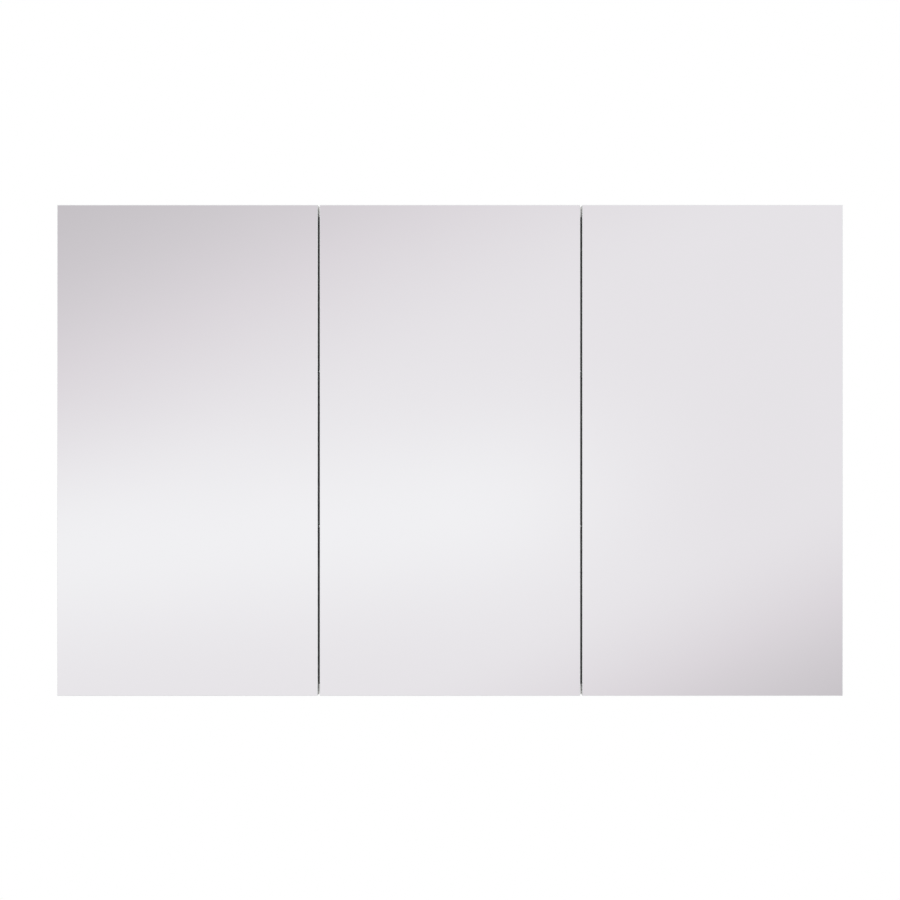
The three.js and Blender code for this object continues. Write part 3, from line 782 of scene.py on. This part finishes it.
def cup_ears():
    """The two screw ears and the strip that joins them, with a hole where the bowl goes."""
    profile = [
        (0, -CUP_PROUD),
        (EAR_LIP - 0.1, -CUP_PROUD),
        (EAR_LIP, 0.1 - CUP_PROUD),
        (EAR_LIP, -CUP_LIFT),
        (EAR_RADIUS, -CUP_LIFT),
        (EAR_RADIUS, FLANGE_DEPTH - 0.15),
        (EAR_RADIUS - 0.15, FLANGE_DEPTH),
        (0, FLANGE_DEPTH),
    ]
    x = CUP_SCREW_U - CUP_MIDDLE_U
    y = CUP_SCREW_W
    ears = moved(lathe("flange", profile), x, y, 0)
    ears = boolean(ears, moved(lathe("ear", profile), x, -y, 0), "UNION")
    for half, depth in ((EAR_RADIUS, FLANGE_DEPTH), (EAR_LIP, -CUP_LIFT)):
        strip = block((x - half, -y, -CUP_PROUD), (x + half, y, depth))
        ears = boolean(ears, strip, "UNION")
    hole = lathe("hole", [(0, -1), (18.0, -1), (18.0, 2), (0, 2)], CUP_SIDES)
    return boolean(ears, hole, "DIFFERENCE")


def cup_mesh():
    """A pressed hinge cup with its two-eared flange and its pins."""
    cup = boolean(cup_pot(), cup_ears(), "UNION")
    quarter = Matrix.Rotation(-math.pi / 2, 4, "X")  # local Z to +Y
    radius, chamfer, sides = 0.8, 0.15, 16
    for (u, v), start, end in ((INNER_CUP_PIN, 0.7, 10.5), (OUTER_CUP_PIN, -14.0, -0.7)):
        near_end = [(0, start), (radius - chamfer, start), (radius, start + chamfer)]
        far_end = [(radius, end - chamfer), (radius - chamfer, end), (0, end)]
        rod = lathe("pin", near_end + far_end, sides)
        cup = boolean(cup, moved(rod, u - CUP_MIDDLE_U, 0, v - DOOR_BACK_V, quarter), "UNION")
    cup.name = "hinge_cup"
    return cup


CUP = cup_mesh()


def inner_faces(name):
    """(x of the left board's inner face, x of the right board's) for a compartment, in metres."""
    faces = {
        "left": ("side_panel_left", "divider_left"),
        "middle": ("divider_left", "divider_right"),
        "right": ("divider_right", "side_panel_right"),
    }
    left, right = faces[name]
    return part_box(left)[1].x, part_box(right)[0].x


SHELF_PIN_DEPTHS = {"front": -0.105, "back": -0.040}
SHELF_PIN_DROP = 0.0025  # from a shelf's underside to the middle of its pins


def shelf_pins():
    for name in DOORS:
        left, right = inner_faces(name)
        for level in ("lower", "upper"):
            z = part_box(f"glass_shelf_{name}_{level}")[0].z - SHELF_PIN_DROP
            for where, depth in SHELF_PIN_DEPTHS.items():
                for x, along, side in ((left, 1, "left"), (right, -1, "right")):
                    spot = frame_at((x, depth, z), (along, 0, 0), (0, 0, 1))
                    pin = f"shelf_pin_{name}_{level}_{side}_{where}"
                    piece(pin, SHELF_PIN, spot, "carcass", "nickel_steel")


shelf_pins()


HANDS = {"left": 1, "middle": 1, "right": -1}  # 1 for a door hung on its left edge, -1 on its right


def hinge_frame(door, level):
    hand = HANDS[door]
    panel_low, panel_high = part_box(f"door_panel_{door}")
    edge = panel_low.x if hand > 0 else panel_high.x
    low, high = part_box(f"hinge_cup_{door}_{level}")
    z = (low.z + high.z) / 2
    turned = Matrix(((hand, 0, 0), (0, -1, 0), (0, 0, -hand))).to_4x4()
    return Matrix.Translation(Vector((edge, carcass_front, z))) @ turned


def in_hinge(base, place, w, axis, side=None):
    """A placement inside a hinge, at (u, v) and w in millimetres, with local Z along a (u, v, w) axis."""
    side = side or ((0, 0, 1) if axis[Z] == 0 else (1, 0, 0))
    u, v = place
    return base @ frame_at((u * MM, v * MM, w * MM), axis, side)


def hinge_pieces(door, level):
    base = hinge_frame(door, level)
    tail = f"{door}_{level}"
    inward = (1, 0, 0)
    seat = in_hinge(base, (CUP_MIDDLE_U, DOOR_BACK_V), 0, (0, 1, 0), inward)
    cup = piece(f"pressed_cup_{tail}", CUP, seat, f"door_{door}", "nickel_steel")
    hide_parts(f"hinge_cup_{tail}")
    for end, along in (("a", 1), ("b", -1)):
        spot = in_hinge(base, (CUP_SCREW_U, DOOR_BACK_V - CUP_PROUD), along * CUP_SCREW_W, (0, -1, 0))
        piece(f"cup_screw_{tail}_{end}", CUP_SCREW, spot, f"door_{door}", "nickel_steel")
    for end, along in (("a", 1), ("b", -1)):
        spot = in_hinge(base, PLATE_SCREW_PLACE, along * PLATE_SCREW_W, inward)
        piece(f"plate_screw_{tail}_{end}", PLATE_SCREW, spot, "carcass", "nickel_steel")
    fixing = in_hinge(base, ARM_FIXING_PLACE, 0, inward)
    piece(f"arm_fixing_screw_{tail}", ARM_SCREW, fixing, "carcass", "nickel_steel")
    aside = in_hinge(base, SIDE_ADJUSTING_PLACE, 0, inward)
    piece(f"side_adjusting_screw_{tail}", SIDE_SCREW, aside, "carcass", "nickel_steel")
    for end, along in (("a", 1), ("b", -1)):
        head = in_hinge(base, INNER_ARM_PIN, along * RIVET_W, (0, 0, along))
        piece(f"inner_link_rivet_{tail}_{end}", RIVET_BIG, head, f"inner_links_{door}", "nickel_steel")
    head = in_hinge(base, OUTER_ARM_PIN, RIVET_W, (0, 0, 1))
    piece(f"outer_link_rivet_{tail}", RIVET_SMALL, head, f"outer_links_{door}", "nickel_steel")


for door in DOORS:
    for level in LEVELS:
        hinge_pieces(door, level)


BUMPER_FROM_SIDE = 0.018
BUMPER_FROM_END = 0.008


def door_bumpers():
    """Two clear bumpers on each door's back, at its free corners, over the top and bottom boards."""
    for door in DOORS:
        low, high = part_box(f"door_panel_{door}")
        x = low.x + BUMPER_FROM_SIDE if HANDS[door] < 0 else high.x - BUMPER_FROM_SIDE
        for z, where in ((high.z - BUMPER_FROM_END, "top"), (low.z + BUMPER_FROM_END, "bottom")):
            spot = frame_at((x, high.y, z), (0, 1, 0), (1, 0, 0))
            piece(f"door_bumper_{door}_{where}", BUMPER, spot, f"door_{door}", "white_plastic", "bumper")


door_bumpers()


CAP_DEPTHS = {"front": -0.100, "back": -0.066}
CAP_FROM_JOINT = 0.024  # from the board that the fitting joins to, to the middle of its cap


def cam_caps():
    """Covers over the fittings that join the boards."""
    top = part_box("top_panel")[0].z
    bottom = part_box("bottom_panel")[1].z
    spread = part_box("top_panel")[1].x - CAP_FROM_JOINT
    for where, depth in CAP_DEPTHS.items():
        for sign, side in ((-1, "left"), (1, "right")):
            for z, down, board in ((top, -1, "top"), (bottom, 1, "bottom")):
                spot = frame_at((sign * spread, depth, z), (0, 0, down), (1, 0, 0))
                piece(f"cam_cap_{board}_{side}_{where}", CAM_CAP, spot, "carcass", "white_plastic")
                low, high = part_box(f"divider_{side}")
                face = low.x if side == "left" else high.x
                height = z + down * CAP_FROM_JOINT
                spot = frame_at((face, depth, height), (sign, 0, 0), (0, 0, 1))
                piece(f"cam_cap_divider_{board}_{side}_{where}", CAM_CAP, spot, "carcass", "white_plastic")


cam_caps()


HANGER_SCREW_HEIGHTS = {"lower": 0, "upper": 0.026}
HANGER_SCREW_SEAT = 0.0033  # behind the housing's front
RAIL_SCREW_PLACES = (-0.520, -0.104, 0.104, 0.520)
RAIL_FACE = -0.0015  # the front of the rail's sheet
SEAT_GAP = 0.00002
WASHER_THICKNESS = 0.0011


def hanging_pieces():
    forwards, across = (0, -1, 0), (1, 0, 0)
    for side in ("left", "right"):
        low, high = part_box(f"hanger_housing_{side}")
        x = (low.x + high.x) / 2
        for where, z in HANGER_SCREW_HEIGHTS.items():
            spot = frame_at((x, low.y + HANGER_SCREW_SEAT, z), forwards, across)
            piece(f"hanger_screw_{side}_{where}", HANGER_SCREW, spot, "carcass", "zinc_steel")
    washer_seat = RAIL_FACE - SEAT_GAP
    screw_seat = washer_seat - WASHER_THICKNESS - SEAT_GAP
    for number, x in enumerate(RAIL_SCREW_PLACES, start=1):
        seat = frame_at((x, washer_seat, 0), forwards, across)
        piece(f"rail_washer_{number}", WASHER, seat, "carcass", "zinc_steel")
        head = frame_at((x, screw_seat, 0), forwards, across)
        piece(f"rail_screw_{number}", RAIL_SCREW, head, "carcass", "zinc_steel")


hanging_pieces()
